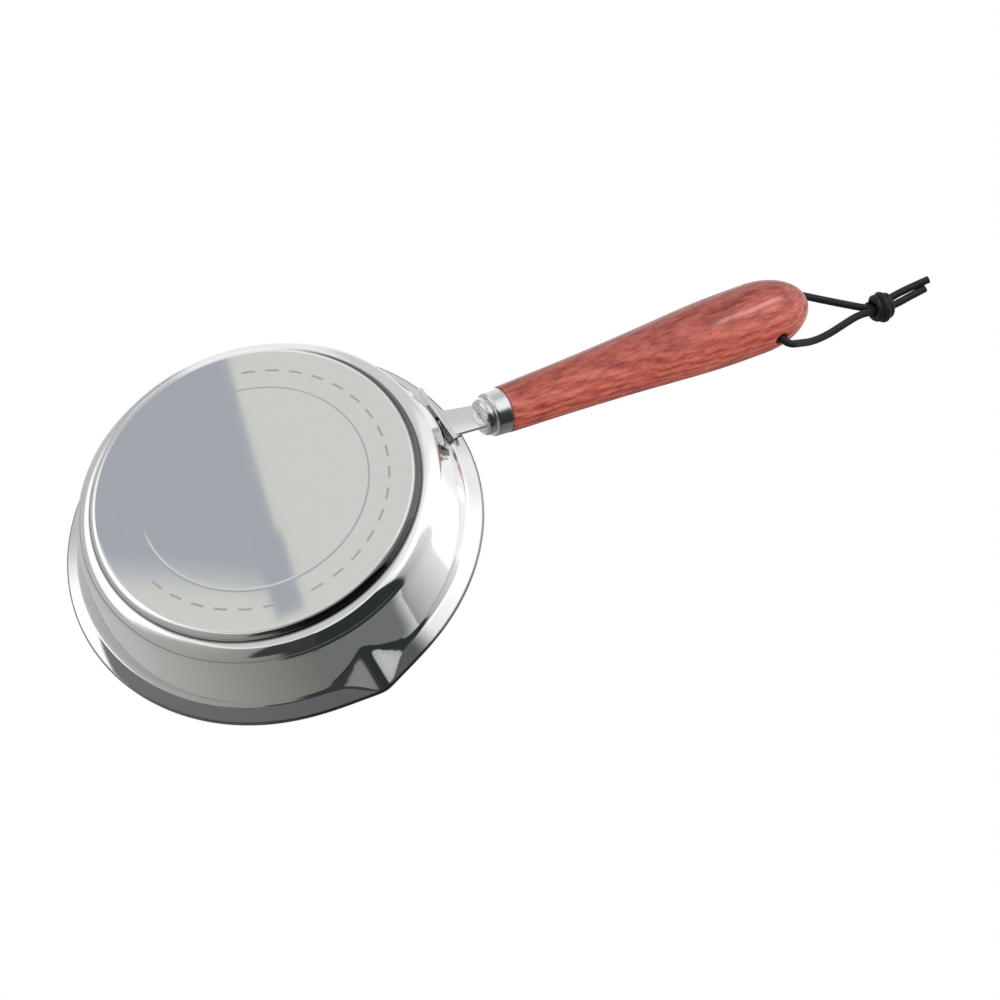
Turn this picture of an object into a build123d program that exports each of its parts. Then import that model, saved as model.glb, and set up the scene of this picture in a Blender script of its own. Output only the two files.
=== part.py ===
from build123d import *
import math
import os

# Milk pan: a thin steel body with one pouring lip, a thick base, a steel strip welded to the wall,
# a ferrule and a turned wooden grip on the strip's tang, and a cord lanyard through the grip.
# Millimetres. The origin is the centre of the base's underside, +Z up, +X towards the handle, lip on +Y.

# Pan body, every radius stepping in from the lip's
lip_radius = 65.0
rim_height = 28.0
sheet = 1.0
flange_width = 5.1
wall_flare = 4.9
floor_corner_radius = 6.5
neck_bend_radius = 2.5
flange_slope = 25.0

# Capsule base
base_step = 4.5
base_thickness = 2.5
base_edge_radius = 2.3
cap_sheet = 0.5
core_seat_gap = 0.05
ring_groove_inset = 15.6
ring_groove_width = 0.8
ring_groove_depth = 0.2

# Pouring lip, whose ridge starts inside the lip and below the rim
spout_azimuth = 88.3
spout_tip_reach = 2.3
spout_ridge_inset = 8.2
spout_ridge_drop = 13.7
spout_half_width = 10.0
spout_fold_radius = 1.5
spout_lip_half_angle = 14.0
spout_lip_shares = ((0.25, 0.64), (0.46, 0.39), (0.71, 0.22), (1.0, 0.0))

# Handle strip, one bent blank that runs from the weld on the wall to the end of the tang
strip_thickness = 1.25
plate_gap = 0.38
plate_foot_drop = 11.5
plate_half_width = 11.5
plate_corner_radius = 0.8
strip_width_at_plate = 10.7
strip_width_at_ferrule = 9.0
strip_fold_radius = 2.1
strip_bend_radius = 12.0
strip_lip_gap = 0.15
tang_width = 7.6
tang_depth = 38.0

# Weld beads between the strip's plate and the wall
weld_radius = 1.2
weld_length = 6.0
weld_spacing = 10.0
weld_rise = 6.5

# Wooden grip, set on an axis that rises from the horizontal, its front out past the lip and above the rim
handle_slope = 18.8
grip_standoff = 15.9
grip_front_rise = 6.0
grip_length = 115.0
grip_radius = 11.65
grip_end_length = 20.0
grip_front_rounding = 0.5
grip_length_shares = (0.0, 0.22, 0.44, 0.66)
grip_radius_shares = (0.639, 0.723, 0.84, 0.978)
tang_bore_radius = 4.2
cord_hole_setback = 16.5
cord_hole_radius = 2.2
cord_hole_mouth = 0.5

# Ferrule in front of the grip
ferrule_radius = 7.3
ferrule_groove_side_radius = 6.9
ferrule_barrel_length = 5.5
ferrule_groove_length = 0.6
ferrule_groove_radius = 4.95
ferrule_boss_length = 2.5
ferrule_boss_radius = 5.45
ferrule_edge_radius = 0.8
ferrule_slot_gap = 0.1
strip_bend_setback = 3.9

# Lanyard, a limp round cord tied in a loop through the grip's hole, its points measured from the hole's middle
cord_diameter = 2.5
knot_length = 8.0
knot_radius = 4.7
knot_wrap_radius_shares = (0.82, 1.0, 0.86)
knot_centre = (39.4, 7.7, 21.4)
knot_direction = (0.95, 0.02, 0.22)
loop_route = [
    (37.7, 8.0, 21.3), (34.3, 8.7, 18.6), (29.5, 9.3, 15.6), (23.3, 10.2, 14.3), (16.3, 11.2, 13.0),
    (9.7, 12.4, 9.3), (4.5, 13.3, 4.3), (1.8, 13.9, 1.6), (0.1, 12.3, 0.1), (0.2, 8.4, 0.2),
    (0.4, 2.2, 0.3), (0.4, -4.2, 0.2), (0.1, -8.5, 0.1), (0.1, -12.3, 0.1), (1.8, -13.9, 1.4),
    (5.1, -13.3, 3.6), (9.8, -11.1, 6.5), (31.9, 4.3, 18.4), (37.3, 7.0, 21.5),
]
tail_routes = [
    [(41.3, 6.6, 21.5), (45.9, 6.4, 21.6), (52.3, 6.6, 22.3), (58.6, 7.3, 22.7)],
    [(41.3, 8.9, 21.9), (45.2, 9.2, 22.4), (50.6, 9.1, 22.9), (56.0, 8.9, 23.9)],
]
run_share = 0.45

# Length by which a cutting or blank body runs past what it cuts
overrun = 5.0

neck_radius = lip_radius - flange_width
floor_radius = neck_radius - wall_flare
base_radius = floor_radius - base_step
ring_groove_radius = base_radius - ring_groove_inset
spout_ridge_radius = lip_radius - spout_ridge_inset
spout_ridge_height = rim_height - spout_ridge_drop
plate_foot_height = rim_height - plate_foot_drop
slope_tangent = math.tan(math.radians(flange_slope))
slope_cosine = math.cos(math.radians(flange_slope))
body_under = base_thickness
lip_under = rim_height - sheet / slope_cosine
neck_height = lip_under - (lip_radius - neck_radius) * slope_tangent
wall_slope = (neck_radius - floor_radius) / (neck_height - body_under)
wall_cosine = 1 / math.hypot(1, wall_slope)
grip_front_x = lip_radius + grip_standoff
grip_front_z = rim_height + grip_front_rise
cord_hole_distance = grip_length - cord_hole_setback
handle_frame = Pos(grip_front_x, 0, grip_front_z) * Rot(0, -handle_slope, 0)
handle_cosine = math.cos(math.radians(handle_slope))
handle_sine = math.sin(math.radians(handle_slope))
hole_middle = Vector(grip_front_x + cord_hole_distance * handle_cosine, 0,
                     grip_front_z + cord_hole_distance * handle_sine)
ferrule_length = ferrule_barrel_length + ferrule_groove_length + ferrule_boss_length

# Where the strip's middle line bends: its fold above the plate, and where it meets the grip's axis
plate_x = neck_radius + plate_gap + strip_thickness / 2
bend_x = grip_front_x - strip_bend_setback * handle_cosine
bend_z = grip_front_z - strip_bend_setback * handle_sine
lip_to_bend = Vector(bend_x - lip_radius, 0, bend_z - lip_under)
strip_slope = math.atan2(lip_to_bend.Z, lip_to_bend.X)
strip_slope += math.asin((strip_lip_gap + strip_thickness / 2) / lip_to_bend.length)
fold_z = bend_z - (bend_x - plate_x) * math.tan(strip_slope)


def closed_face(edges):
    return make_face(Curve() + edges)


def wall_solid(offset, top):
    """Everything inside the pan's skin, moved inwards by the offset, up to the given height."""
    floor_z = body_under + offset
    wall_shift = offset / wall_cosine
    floor_r = floor_radius + wall_slope * offset - wall_shift
    neck_lift = offset / slope_cosine
    rise = neck_lift - wall_shift * slope_tangent
    neck_z = neck_height + rise / (1 - wall_slope * slope_tangent)
    neck_r = neck_radius - wall_shift + wall_slope * (neck_z - neck_height)
    edge_r = lip_radius + (overrun if offset else 0)
    edge_z = neck_z + (edge_r - neck_r) * slope_tangent
    skin = FilletPolyline(
        (0, 0, floor_z), (floor_r, 0, floor_z), (neck_r, 0, neck_z), (edge_r, 0, edge_z),
        radius=[floor_corner_radius - offset, neck_bend_radius + offset],
    )
    rest = Polyline((edge_r, 0, edge_z), (edge_r, 0, top), (0, 0, top), (0, 0, floor_z))
    return revolve(closed_face([skin, rest]), Axis.Z)


def spout_keel(fold_radius, top):
    """The three-sided wedge that the pouring lip pushes out of the wall, pointing along +Y."""
    tip_radius = lip_radius + spout_tip_reach
    ridge_slope = (tip_radius - spout_ridge_radius) / (lip_under - spout_ridge_height)
    width_slope = spout_half_width / (neck_height - spout_ridge_height)
    root = spout_ridge_radius - spout_half_width
    sections = []
    for height in (spout_ridge_height + fold_radius, top):
        rise = height - spout_ridge_height
        apex = spout_ridge_radius + ridge_slope * rise
        flank = width_slope * rise
        flank_back = rise * (neck_radius - neck_radius * math.cos(spout_half_width / neck_radius))
        flank_y = neck_radius - (neck_height - height) * wall_slope - flank_back / (neck_height - spout_ridge_height)
        outline = Polygon((0, apex), (-flank, flank_y), (-flank, root), (flank, root), (flank, flank_y), align=None)
        tip = outline.vertices().sort_by(Axis.Y)[-1]
        share = rise / (top - spout_ridge_height)
        sections.append(Pos(0, 0, height) * fillet(tip, fold_radius * share))
    return loft(sections, ruled=True)


def spout_wall_shift():
    """How far the wedge slides back along Y so that its flanks leave one sheet of metal."""
    rise = lip_under - spout_ridge_height
    ridge = Vector(0, lip_radius + spout_tip_reach - spout_ridge_radius, rise)
    apex_at_neck = spout_ridge_radius + ridge.Y * (neck_height - spout_ridge_height) / rise
    flank = Vector(spout_half_width, neck_radius * math.cos(spout_half_width / neck_radius) - apex_at_neck, 0)
    normal = ridge.cross(flank).normalized()
    return sheet / abs(normal.Y)


def spout_plan(low, high):
    """Block between two heights whose front follows the rim as it swells out to the tip of the spout."""
    def rim_point(angle_share, reach_share, side):
        angle = math.radians(spout_lip_half_angle) * angle_share * side
        radius = lip_radius + spout_tip_reach * reach_share
        return (radius * math.sin(angle), radius * math.cos(angle))
    left = [rim_point(a, r, -1) for a, r in reversed(spout_lip_shares)]
    right = [rim_point(a, r, 1) for a, r in spout_lip_shares]
    swell = Spline(*left, rim_point(0, 1, 1), *right)
    root = spout_ridge_radius - spout_half_width
    back = Polyline(right[-1], (right[-1][0], root), (left[0][0], root), left[0])
    return Pos(0, 0, low) * extrude(closed_face([swell, back]), amount=high - low)


def pan_outer():
    top = rim_height + overrun
    keel = spout_keel(spout_fold_radius + sheet, top) & spout_plan(body_under, top)
    return wall_solid(0, top) + Rot(0, 0, spout_azimuth - 90) * keel


def pan_shell():
    top = rim_height + overrun
    aim = Rot(0, 0, spout_azimuth - 90)
    keel = Pos(0, -spout_wall_shift(), 0) * spout_keel(spout_fold_radius, top + sheet)
    cavity = wall_solid(sheet, top + sheet) + aim * keel
    above_rim = Pos(0, 0, rim_height) * Cylinder(
        lip_radius + overrun, 2 * overrun, align=(Align.CENTER, Align.CENTER, Align.MIN))
    return pan_outer() + aim * spout_plan(lip_under, rim_height) - cavity - above_rim


def base_core():
    radius = base_radius - cap_sheet - core_seat_gap
    disc = Cylinder(radius, base_thickness - cap_sheet, align=(Align.CENTER, Align.CENTER, Align.MIN))
    edge = disc.edges().filter_by(GeomType.CIRCLE).sort_by(Axis.Z)[0]
    return Pos(0, 0, cap_sheet) * fillet(edge, base_edge_radius - cap_sheet)


def base_cap():
    height = base_thickness
    outer = Cylinder(base_radius, height, align=(Align.CENTER, Align.CENTER, Align.MIN))
    outer = fillet(outer.edges().filter_by(GeomType.CIRCLE).sort_by(Axis.Z)[0], base_edge_radius)
    hollow = Cylinder(base_radius - cap_sheet, height, align=(Align.CENTER, Align.CENTER, Align.MIN))
    hollow = fillet(hollow.edges().filter_by(GeomType.CIRCLE).sort_by(Axis.Z)[0], base_edge_radius - cap_sheet)
    groove = Cylinder(ring_groove_radius + ring_groove_width / 2, 2 * ring_groove_depth)
    groove -= Cylinder(ring_groove_radius - ring_groove_width / 2, 2 * ring_groove_depth)
    return outer - Pos(0, 0, cap_sheet) * hollow - groove


def strip_path():
    """Middle of the bent strip: up the plate, over the fold, under the lip and into the grip."""
    end_x = grip_front_x + tang_depth * handle_cosine
    end_z = grip_front_z + tang_depth * handle_sine
    return FilletPolyline(
        (plate_x, 0, plate_foot_height), (plate_x, 0, fold_z), (bend_x, 0, bend_z), (end_x, 0, end_z),
        radius=[strip_fold_radius, strip_bend_radius],
    )


def bent_sheet(width, thickness):
    path = strip_path()
    section = Plane(origin=path @ 0, x_dir=(0, 1, 0), z_dir=path % 0) * Rectangle(width, thickness)
    return sweep(section, path)


def handle_bracket():
    sheet_metal = bent_sheet(2 * plate_half_width, strip_thickness)
    plate_height = fold_z - strip_fold_radius - plate_foot_height
    plate_blank = RectangleRounded(2 * plate_half_width, plate_height, plate_corner_radius)
    plate_plane = Plane(origin=(plate_x, 0, plate_foot_height + plate_height / 2), x_dir=(0, 1, 0), z_dir=(1, 0, 0))
    plate = extrude(plate_plane * plate_blank, amount=strip_thickness, both=True)
    ferrule_x = grip_front_x - ferrule_length * handle_cosine
    tang_x = grip_front_x - strip_thickness
    tang_end_x = grip_front_x + (tang_depth + overrun) * handle_cosine
    one_side = [
        (plate_x - strip_thickness, strip_width_at_plate / 2), (ferrule_x, strip_width_at_ferrule / 2),
        (tang_x, strip_width_at_ferrule / 2), (tang_x, tang_width / 2), (tang_end_x, tang_width / 2),
    ]
    other_side = [(x, -y) for x, y in reversed(one_side)]
    strip_blank = Polygon(*one_side, *other_side, align=None)
    strip = extrude(strip_blank, amount=grip_length, both=True)
    return sheet_metal & (plate + strip)


def weld_beads(bracket, body):
    beads = []
    for side in (-1, 1):
        rod = Rot(90, 0, 0) * Cylinder(weld_radius, weld_length)
        rod = fillet(rod.edges().filter_by(GeomType.CIRCLE), weld_radius / 2)
        rod = Pos(neck_radius, side * weld_spacing / 2, plate_foot_height + weld_rise) * rod
        beads.append(rod - body - bracket)
    return Compound(children=[bead.solid() for bead in beads])


def grip_profile():
    """Half outline of the grip: a swelling side, then a quarter ellipse round the end."""
    end_start = grip_length - grip_end_length
    points = [(grip_length * x, grip_radius * r) for x, r in zip(grip_length_shares, grip_radius_shares)]
    side = Spline(*points, (end_start, grip_radius), tangents=[(grip_length, grip_radius / 2), (1, 0)])
    end = EllipticalCenterArc((end_start, 0), grip_end_length, grip_radius, start_angle=0, arc_size=90)
    axis_and_front = Polyline((grip_length, 0), (0, 0), points[0])
    return closed_face([side, end, axis_and_front])


def wooden_grip():
    grip = revolve(grip_profile(), Axis.X)
    front = grip.edges().filter_by(GeomType.CIRCLE).sort_by(Axis.X)[0]
    grip = fillet(front, grip_front_rounding)
    bore = Rot(0, 90, 0) * Cylinder(tang_bore_radius, 2 * (tang_depth + tang_bore_radius))
    hole = Rot(90, 0, 0) * Cylinder(cord_hole_radius, 4 * grip_radius)
    grip = grip - bore - Pos(cord_hole_distance, 0, 0) * hole
    past_end_start = cord_hole_distance - (grip_length - grip_end_length)
    mouth_y = grip_radius * math.sqrt(1 - (past_end_start / grip_end_length) ** 2)
    for side_turn in (90, -90):
        mouth = Cone(cord_hole_radius, cord_hole_radius + 2 * cord_hole_mouth, 2 * cord_hole_mouth)
        grip -= Pos(cord_hole_distance, 0, 0) * Rot(side_turn, 0, 0) * Pos(0, 0, mouth_y) * mouth
    return handle_frame * grip


def tang_adhesive(bracket):
    length = tang_depth + tang_bore_radius
    fill = Rot(0, 90, 0) * Cylinder(tang_bore_radius, length, align=(Align.CENTER, Align.CENTER, Align.MIN))
    return handle_frame * fill - bracket


def ferrule():
    boss_end = -ferrule_length
    groove_end = -ferrule_barrel_length - ferrule_groove_length
    outline = Polyline(
        (0, 0), (0, ferrule_radius), (-ferrule_barrel_length, ferrule_groove_side_radius),
        (-ferrule_barrel_length, ferrule_groove_radius), (groove_end, ferrule_groove_radius),
        (groove_end, ferrule_boss_radius), (boss_end, ferrule_boss_radius), (boss_end, 0), (0, 0))
    body = revolve(make_face(outline), Axis.X)
    front = body.edges().filter_by(GeomType.CIRCLE).sort_by(Axis.X)[0]
    body = fillet(front, ferrule_edge_radius)
    slot = bent_sheet(strip_width_at_ferrule + 2 * ferrule_slot_gap, strip_thickness + 2 * ferrule_slot_gap)
    return handle_frame * body - slot


def cord_tube(name, route):
    radii = []
    for before, corner, after in zip(route, route[1:], route[2:]):
        first = Vector(corner) - Vector(before)
        second = Vector(after) - Vector(corner)
        half_turn = math.radians(first.get_angle(second)) / 2
        radii.append(run_share * min(first.length, second.length) / math.tan(half_turn))
    path = Pos(hole_middle) * FilletPolyline(*route, radius=radii)
    tube = sweep(Plane(origin=path @ 0, z_dir=path % 0) * Circle(cord_diameter / 2), path)
    expected = math.pi * (cord_diameter / 2) ** 2 * path.length
    print(name, "length", round(path.length, 1), "radii", [round(r, 1) for r in radii],
          "volume over section times length", round(tube.volume / expected, 4))
    return tube


def lanyard_knot():
    """Tight overhand knot of the doubled cord, as three turns side by side."""
    turn = knot_length / len(knot_wrap_radius_shares)
    profile = []
    for index, radius_share in enumerate(knot_wrap_radius_shares):
        start = index * turn - knot_length / 2
        crest = knot_radius * radius_share
        valley = crest - turn / 2
        profile.append(Pos(0, start + turn / 2) * Rectangle(valley, turn, align=(Align.MIN, Align.CENTER)))
        profile.append(Pos(valley, start + turn / 2) * Circle(turn / 2))
    outline = Sketch() + profile
    half = Rectangle(2 * knot_radius, 2 * knot_length, align=(Align.MIN, Align.CENTER))
    knot = revolve(Plane.XZ * (outline & half), Axis.Z)
    return Plane(origin=hole_middle + Vector(knot_centre), z_dir=knot_direction) * knot


def lanyard_tails():
    tails = [cord_tube("lanyard tail", route) for route in tail_routes]
    return Compound(children=tails)


def write_part(name, shape):
    export_step(shape, f"parts/{name}.step")
    print(name, "solids", len(shape.solids()), "volume", round(shape.volume, 1))


os.makedirs("parts", exist_ok=True)
bracket = handle_bracket()
write_part("pan_shell", pan_shell())
write_part("base_core", base_core())
write_part("base_cap", base_cap())
write_part("handle_bracket", bracket)
write_part("bracket_welds", weld_beads(bracket, pan_outer()))
write_part("ferrule", ferrule())
write_part("wooden_grip", wooden_grip())
write_part("tang_adhesive", tang_adhesive(bracket))
write_part("lanyard_loop", cord_tube("lanyard loop", loop_route))
write_part("lanyard_knot", lanyard_knot())
write_part("lanyard_tails", lanyard_tails())
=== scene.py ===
"""Milk pan: polished steel body with a pouring lip, stepped base, welded strip, ferrule, wooden grip, cord."""

import math

import bmesh
import bpy
import numpy as np
from mathutils import Matrix, Vector


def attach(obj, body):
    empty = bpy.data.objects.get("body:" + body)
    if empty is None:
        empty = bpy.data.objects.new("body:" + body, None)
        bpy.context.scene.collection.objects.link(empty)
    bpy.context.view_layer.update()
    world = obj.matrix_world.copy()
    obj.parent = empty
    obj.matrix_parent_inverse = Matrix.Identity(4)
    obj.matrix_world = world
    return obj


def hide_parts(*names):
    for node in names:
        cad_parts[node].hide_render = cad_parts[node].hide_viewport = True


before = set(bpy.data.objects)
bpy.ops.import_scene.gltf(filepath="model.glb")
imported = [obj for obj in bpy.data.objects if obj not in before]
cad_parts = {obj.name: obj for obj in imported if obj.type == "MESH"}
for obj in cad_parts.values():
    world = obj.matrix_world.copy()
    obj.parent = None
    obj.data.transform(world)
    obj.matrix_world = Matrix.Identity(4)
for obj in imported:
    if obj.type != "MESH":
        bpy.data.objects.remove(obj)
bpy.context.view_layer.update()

# Pan body, in metres
LIP_RADIUS = 0.065
RIM_HEIGHT = 0.028
SHEET = 0.001
NECK_RADIUS = 0.0599
FLOOR_RADIUS = 0.055
FLOOR_CORNER = 0.0065
NECK_BEND = 0.0025
FLANGE_SLOPE = math.radians(25)
LIP_EDGE = 0.00045
LIP_UNDER = RIM_HEIGHT - SHEET / math.cos(FLANGE_SLOPE)
BASE_THICKNESS = 0.0025

# Pouring lip
SPOUT_AZIMUTH = math.radians(88.3)
SPOUT_REACH = 0.0023
SPOUT_FADE = 6.5
RIDGE_RADIUS = 0.0568
RIDGE_HEIGHT = 0.0143
SPOUT_HALF_WIDTH = 0.010
SPOUT_BLEND = 0.0016
SPOUT_BLEND_TURN = 0.2
TIP_GAP = 0.00005
RIDGE_ROUNDING = math.radians(1.5)

# Base cap
CAP_RADIUS = 0.0505
CAP_EDGE = 0.0023
CAP_SHEET = 0.0005
GROOVE_RADIUS = 0.0349
GROOVE_HALF_WIDTH = 0.0006
GROOVE_DEPTH = 0.000018
DASH_RADIUS = 0.0413
DASH_COUNT = 35
DASH_LENGTH = 0.0041
DASH_WIDTH = 0.0007
DASH_SIDE_BLUR = 0.00008
DASH_END_BLUR = 0.0001
DASH_TURN = math.radians(-1.9)
WORN_TURN = math.radians(-50)
WORN_LIMITS = (0.40, 0.62)
WORN_SHARE = 0.12
CAP_SHADE_TURN = math.radians(35)

# Finishes: pairs go from no effect to full effect
PAN_COLOUR = (0.82, 0.82, 0.82)
# Painted shade: a dark band low on the wall, in the seam where the body meets the cap
SEAM_SHADE_COLOUR = (0.13, 0.135, 0.135)
SEAM_SHADE_HEIGHTS = (0.006, 0.0045)
SEAM_SHADE_RADII = (0.0514, 0.0507)
# Painted shade: a dark line along the lip's edge, where it does not face up
LIP_SHADE_COLOUR = (0.2, 0.205, 0.21)
LIP_SHADE_HEIGHTS = (0.02655, 0.0268)
SATIN_HEIGHTS = (0.014, 0.010)
CAP_COLOUR = (0.8, 0.8, 0.8)
DASH_COLOUR = (0.5, 0.465, 0.41)
# Painted shade: a dark band on the cap's rounded edge, on the handle's side
CAP_SHADE_COLOUR = (0.11, 0.115, 0.115)
CAP_SHADE_RADII = (0.0486, 0.0492)
WOOD_DARK = (0.197, 0.025, 0.018)
WOOD_MIDDLE = (0.414, 0.072, 0.049)
WOOD_LIGHT = (0.592, 0.154, 0.104)
PORE_COLOUR = (0.13, 0.018, 0.014)

# Strip, ferrule and grip
GRIP_SLOPE = math.radians(18.8)
GRIP_FRONT = Vector((0.0809, 0, 0.0340))
GRIP_ALONG = Vector((math.cos(GRIP_SLOPE), 0, math.sin(GRIP_SLOPE)))
GRIP_ACROSS = Vector((-math.sin(GRIP_SLOPE), 0, math.cos(GRIP_SLOPE)))
GRIP_LENGTH = 0.115
GRIP_RADIUS = 0.01165
GRIP_END = 0.020
GRIP_FRONT_RADIUS = 0.00744
GRIP_FRONT_EDGE = 0.0005
HOLE_FLARE = 0.0022
HOLE_DISTANCE = 0.0985
HOLE_RADIUS = 0.0022
STRIP_THICKNESS = 0.00125
STRIP_LIP_GAP = 0.00015
STRIP_EDGE = 0.0002
FOLD_RADIUS = 0.0021
BEND_RADIUS = 0.012
TANG_HALF_WIDTH = 0.0038
PLATE_GAP = 0.00038
PLATE_FOOT = 0.0165
PLATE_HALF_WIDTH = 0.0115
PLATE_CORNER = 0.0008
PLATE_SWELL = 0.0013
PLATE_SWELL_TURN = 0.33
STRIP_HALF_AT_PLATE = 0.00535
STRIP_HALF_AT_FERRULE = 0.0045
TANG_DEPTH = 0.038
BEND_SETBACK = 0.0039
FERRULE_BARREL = 0.0055
FERRULE_GROOVE = 0.0006
FERRULE_BOSS = 0.0025
FERRULE_RIM = 0.0070
FERRULE_RADIUS = 0.0073
FERRULE_NECK = 0.0056
BOSS_RADIUS = 0.0060
BOSS_FRONT = 0.0058
SLOT_MARGIN = 0.0001

# Floor of the studio
FLOOR_HALF = 3.0
FLOOR_HEIGHT = -0.0004

# Cord
CORD_DIAMETER = 0.0025
HOLE_CENTRE = GRIP_FRONT + HOLE_DISTANCE * GRIP_ALONG
KNOT_CENTRE = (39.4, 7.7, 21.4)
KNOT_DIRECTION = (0.95, 0.02, 0.22)
KNOT_TURNS = 3.1
KNOT_LENGTH = 0.0062
KNOT_RADIUS = 0.0034
KNOT_SWELL = 0.0006
LOOP_ROUTE = [
    (37.7, 8.0, 21.3), (34.3, 8.7, 18.6), (29.5, 9.3, 15.6), (23.3, 10.2, 14.3), (16.3, 11.2, 13.0),
    (9.7, 12.4, 9.3), (4.5, 13.3, 4.3), (1.8, 13.9, 1.6), (0.1, 12.3, 0.1), (0.2, 8.4, 0.2),
    (0.4, 2.2, 0.3), (0.4, -4.2, 0.2), (0.1, -8.5, 0.1), (0.1, -12.3, 0.1), (1.8, -13.9, 1.4),
    (5.1, -13.3, 3.6), (9.8, -11.1, 6.5), (31.9, 4.3, 18.4), (37.3, 7.0, 21.5),
]
TAIL_ROUTES = [
    [(41.3, 6.6, 21.5), (45.9, 6.4, 21.6), (52.3, 6.6, 22.3), (58.6, 7.3, 22.7)],
    [(41.3, 8.9, 21.9), (45.2, 9.2, 22.4), (50.6, 9.1, 22.9), (56.0, 8.9, 23.9)],
]
HOLE_MIDDLE = 10
MM = 0.001


def make_camera():
    """Camera fitted to the photograph's lip, base and grip."""
    data = bpy.data.cameras.new("photo_camera")
    data.lens = 108
    data.sensor_width = 36
    data.clip_start = 0.01
    data.clip_end = 20
    camera = bpy.data.objects.new("photo_camera", data)
    right = Vector((0.847393, 0.504935, 0.164211))
    up = Vector((0.511870, -0.694673, -0.505390))
    back = Vector((-0.141116, 0.512319, -0.847122))
    turn = Matrix((right, up, back)).transposed()
    camera.matrix_world = Matrix.Translation((-0.065444, 0.496027, -0.740627)) @ turn.to_4x4()
    bpy.context.scene.collection.objects.link(camera)
    bpy.context.scene.camera = camera


def finish_mesh(name, mesh, material, body, nodes):
    """Closes seams and poles, turns the faces outwards, smooths and files the piece."""
    shape = bmesh.new()
    shape.from_mesh(mesh)
    bmesh.ops.remove_doubles(shape, verts=shape.verts, dist=1e-7)
    bmesh.ops.recalc_face_normals(shape, faces=shape.faces)
    shape.to_mesh(mesh)
    shape.free()
    mesh.shade_smooth()
    piece = bpy.data.objects.new(name, mesh)
    bpy.context.scene.collection.objects.link(piece)
    mesh.materials.append(material)
    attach(piece, body)
    if nodes:
        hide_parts(*nodes)
    return piece


def surface(name, points, material, body, nodes=(), around=True):
    """Mesh of a grid of points, rows by columns, closed round its columns where it goes around."""
    rows, columns = points.shape[:2]
    index = np.arange(rows * columns).reshape(rows, columns)
    if around:
        index = np.hstack([index, index[:, :1]])
    corners = [index[:-1, :-1], index[1:, :-1], index[1:, 1:], index[:-1, 1:]]
    quads = np.stack(corners, axis=-1).reshape(-1, 4)
    mesh = bpy.data.meshes.new(name)
    mesh.from_pydata(points.reshape(-1, 3).tolist(), [], quads.tolist())
    return finish_mesh(name, mesh, material, body, nodes)


def run(a, b, count, ease=0.04):
    """Points from a to b, evenly spaced but for one close to each end, where a bend begins."""
    share = np.concatenate([[0, ease], np.linspace(0.12, 0.88, max(count - 4, 1)), [1 - ease, 1]])
    a = np.asarray(a, float)
    b = np.asarray(b, float)
    return a + share.reshape(-1, *([1] * a.ndim)) * (b - a)


def bend(a, corner, b, count=8):
    """Quadratic curve from a to b that leaves and arrives along the lines to the corner."""
    a, corner, b = (np.asarray(p, float) for p in (a, corner, b))
    t = np.linspace(0, 1, count).reshape(-1, *([1] * a.ndim))
    return (1 - t) ** 2 * a + 2 * t * (1 - t) * corner + t ** 2 * b


def rounded(points, radii, steps=8):
    """Outline through corner points, each inner corner cut by an arc of its radius, straight runs between."""
    points = np.asarray(points, float)
    parts = []
    start = points[0]
    for before, corner, after, radius in zip(points, points[1:], points[2:], radii):
        inward = (before - corner) / np.linalg.norm(before - corner)
        onward = (after - corner) / np.linalg.norm(after - corner)
        half = np.arccos(np.clip(inward @ onward, -1, 1)) / 2
        cut = radius / np.tan(half)
        centre = corner + (inward + onward) / np.linalg.norm(inward + onward) * radius / np.sin(half)
        first = corner + inward * cut
        last = corner + onward * cut
        t = np.linspace(0, 1, steps)[:, None]
        turn = math.pi - 2 * half
        arc = (np.sin((1 - t) * turn) * (first - centre) + np.sin(t * turn) * (last - centre)) / math.sin(turn)
        parts += [run(start, first, 8), centre + arc]
        start = last
    parts.append(run(start, points[-1], 8))
    return np.concatenate(parts)


def lathe(profile, origin, along, segments):
    """Profile of (distance along the axis, radius) turned round an axis: p = origin + a*along + r*(cos, sin)."""
    angle = np.linspace(0, 2 * math.pi, segments, endpoint=False)
    along = np.array(along)
    upright = abs(along[2]) > 0.9
    side = np.array((1, 0, 0) if upright else GRIP_ACROSS, float)
    other = np.cross(along, side)
    around = np.cos(angle)[:, None] * side + np.sin(angle)[:, None] * other
    return np.array(origin) + profile[:, None, :1] * along + profile[:, None, 1:] * around[None]


def soft_max(a, b, width):
    """Larger of two values, joined by a hyperbola that is half the width above the crossing."""
    return (a + b + np.sqrt((a - b) ** 2 + width ** 2)) / 2


# Formulas of the body's skin: the wall's radius rises with height and swells into the spout's wedge
NECK_HEIGHT = LIP_UNDER - (LIP_RADIUS - NECK_RADIUS) * math.tan(FLANGE_SLOPE)
WALL_SLOPE = (NECK_RADIUS - FLOOR_RADIUS) / (NECK_HEIGHT - BASE_THICKNESS)
WALL_TILT = math.atan(WALL_SLOPE)
RIDGE_SLOPE = (LIP_RADIUS + SPOUT_REACH - TIP_GAP - RIDGE_RADIUS) / (LIP_UNDER - RIDGE_HEIGHT)
NECK_APEX = RIDGE_RADIUS + RIDGE_SLOPE * (NECK_HEIGHT - RIDGE_HEIGHT)
FLANK_SLOPE = (NECK_APEX - NECK_RADIUS * math.cos(SPOUT_HALF_WIDTH / NECK_RADIUS)) / SPOUT_HALF_WIDTH
RIDGE_SHIFT = 1.45
WEDGE_LIMIT = math.atan(FLANK_SLOPE)


def lip_edge_radius(phi):
    """Rim's radius at an angle from the spout: it swells towards the tip, falling off as an exponential."""
    degrees = np.degrees(phi)
    return LIP_RADIUS + SPOUT_REACH * np.exp(-(np.sqrt(degrees ** 2 + 4) - 2) / SPOUT_FADE)


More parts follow.
